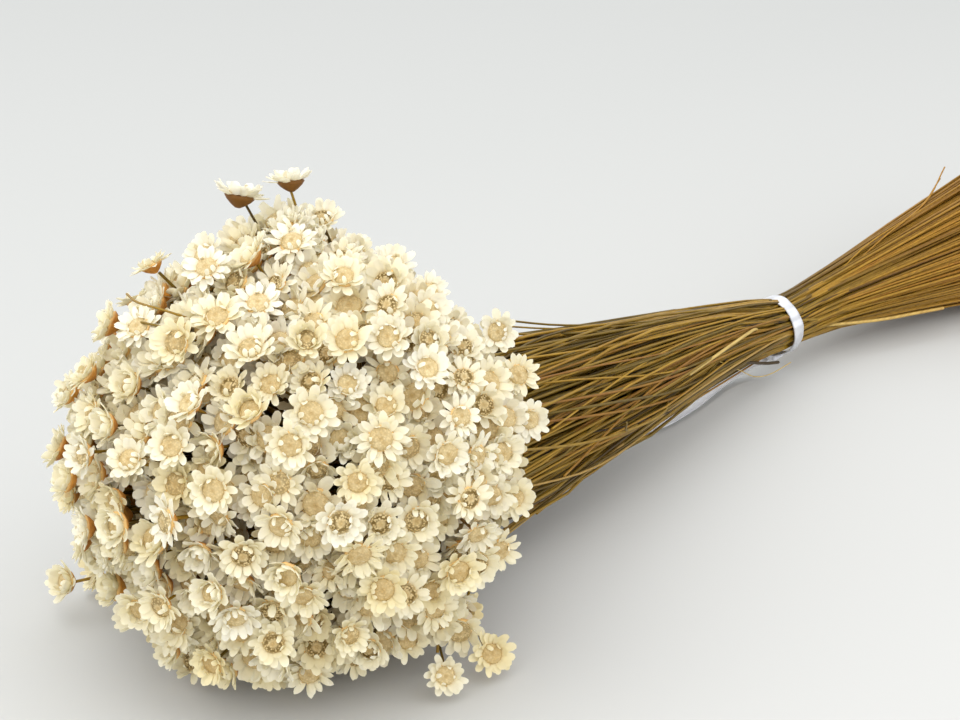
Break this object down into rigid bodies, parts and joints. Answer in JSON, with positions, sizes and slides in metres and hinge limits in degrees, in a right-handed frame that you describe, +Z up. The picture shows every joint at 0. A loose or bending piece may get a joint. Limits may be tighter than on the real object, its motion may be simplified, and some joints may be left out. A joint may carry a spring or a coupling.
{
  "type": "dried flower bunch",
  "caption": "Tied bunch of dried papery star flowers on thin straw stems, lying on its side, with a white satin ribbon round the waist.",
  "frame": {"origin": "On the surface, under the middle of the box round the flowers, stems and tie band, without the ribbon's free end.", "axes": "+Z up from the surface that the bunch lies on; -X towards the flowers, +X towards the cut ends; Y across the bunch."},
  "size_m": [0.4724, 0.1396, 0.1204],
  "materials": {
    "dried_flowers": "matt, papery, slightly translucent",
    "straw_stems": "dry straw stems, satin to matt",
    "satin_ribbon": "satin sheen"
  },
  "bodies": {
    "root": {"spray_01": "dried_flowers", "spray_02": "dried_flowers", "spray_03": "dried_flowers", "spray_04": "dried_flowers", "spray_05": "dried_flowers", "spray_06": "dried_flowers", "spray_07": "dried_flowers", "spray_08": "dried_flowers", "spray_09": "dried_flowers", "spray_10": "dried_flowers", "spray_11": "dried_flowers", "spray_12": "dried_flowers", "spray_13": "dried_flowers", "spray_14": "dried_flowers", "spray_15": "dried_flowers", "spray_16": "dried_flowers", "spray_17": "dried_flowers", "spray_18": "dried_flowers", "spray_19": "dried_flowers", "spray_20": "dried_flowers", "spray_21": "dried_flowers", "spray_22": "dried_flowers", "spray_23": "dried_flowers", "spray_24": "dried_flowers", "spray_25": "dried_flowers", "spray_26": "dried_flowers", "spray_27": "dried_flowers", "spray_28": "dried_flowers", "spray_29": "dried_flowers", "spray_30": "dried_flowers", "spray_31": "dried_flowers", "spray_32": "dried_flowers", "spray_33": "dried_flowers", "spray_34": "dried_flowers", "spray_35": "dried_flowers", "spray_36": "dried_flowers", "spray_37": "dried_flowers", "tie_band": "satin_ribbon", "tie_end": "satin_ribbon"}
  },
  "joints": []
}
